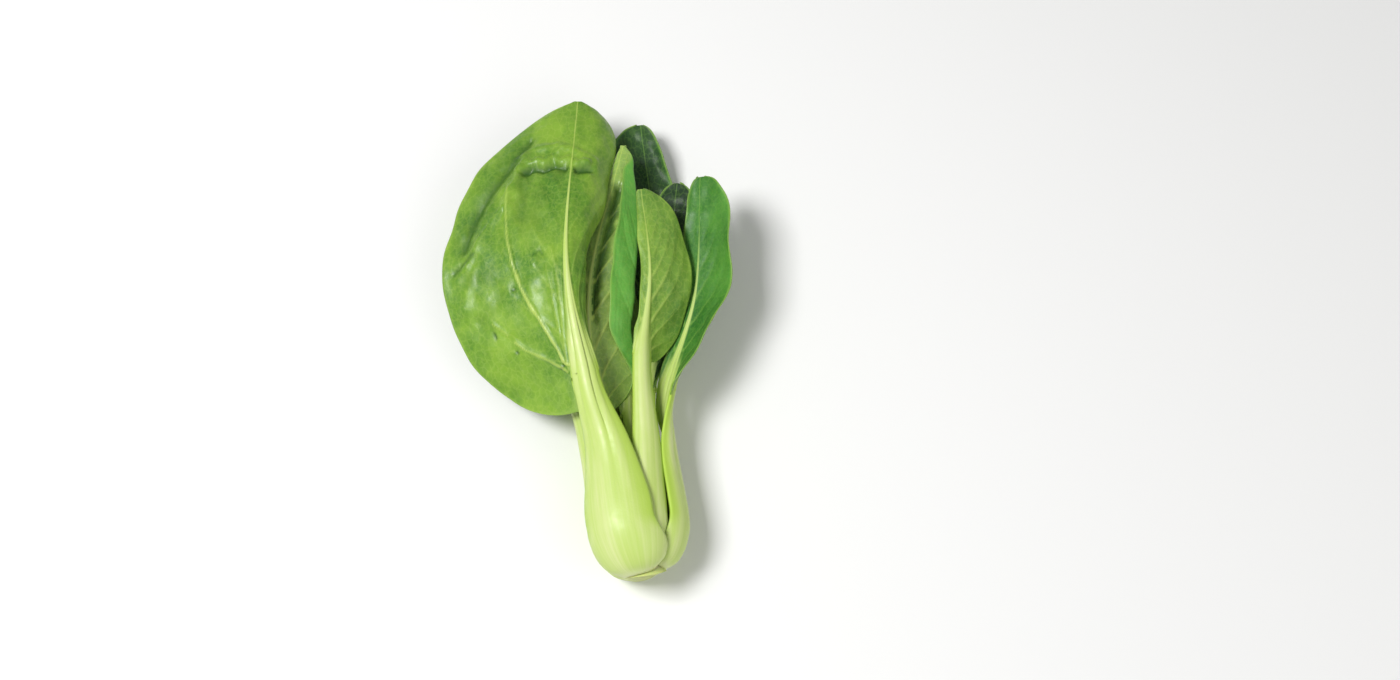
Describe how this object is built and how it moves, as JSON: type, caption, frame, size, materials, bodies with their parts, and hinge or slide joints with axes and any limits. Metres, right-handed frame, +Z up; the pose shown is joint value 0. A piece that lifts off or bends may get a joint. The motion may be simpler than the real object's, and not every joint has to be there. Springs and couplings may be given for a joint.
{
  "type": "bok choy",
  "caption": "Head of small green-stalked bok choy lying on its side: thick pale leaf stalks packed into a rounded bulb, fanning out into ribbed green leaf blades.",
  "frame": {"origin": "on the surface that the head lies on, under the middle of its outline", "axes": "+Y along the head from its cut root end to the leaf tips, +Z up from the surface, +X to the right seen from the root end"},
  "size_m": [0.1184, 0.2018, 0.0476],
  "materials": {
    "stem": "moist cut surface, cream, slightly rough",
    "stalk": "smooth waxy skin, pale green, with fine lengthwise ridges",
    "blade": "satin leaf, blistered between pale veins"
  },
  "bodies": {
    "root": {"stem": "stem", "leaf_01_stalk": "stalk", "leaf_01_blade": "blade", "leaf_02_stalk": "stalk", "leaf_02_blade": "blade", "leaf_03_stalk": "stalk", "leaf_03_blade": "blade", "leaf_04_stalk": "stalk", "leaf_04_blade": "blade", "leaf_05_stalk": "stalk", "leaf_05_blade": "blade", "leaf_06_stalk": "stalk", "leaf_06_blade": "blade", "leaf_07_stalk": "stalk", "leaf_07_blade": "blade", "leaf_08_stalk": "stalk", "leaf_08_blade": "blade", "leaf_09_stalk": "stalk", "leaf_09_blade": "blade", "leaf_10_stalk": "stalk", "leaf_10_blade": "blade", "leaf_11_stalk": "stalk", "leaf_11_blade": "blade"}
  },
  "joints": []
}
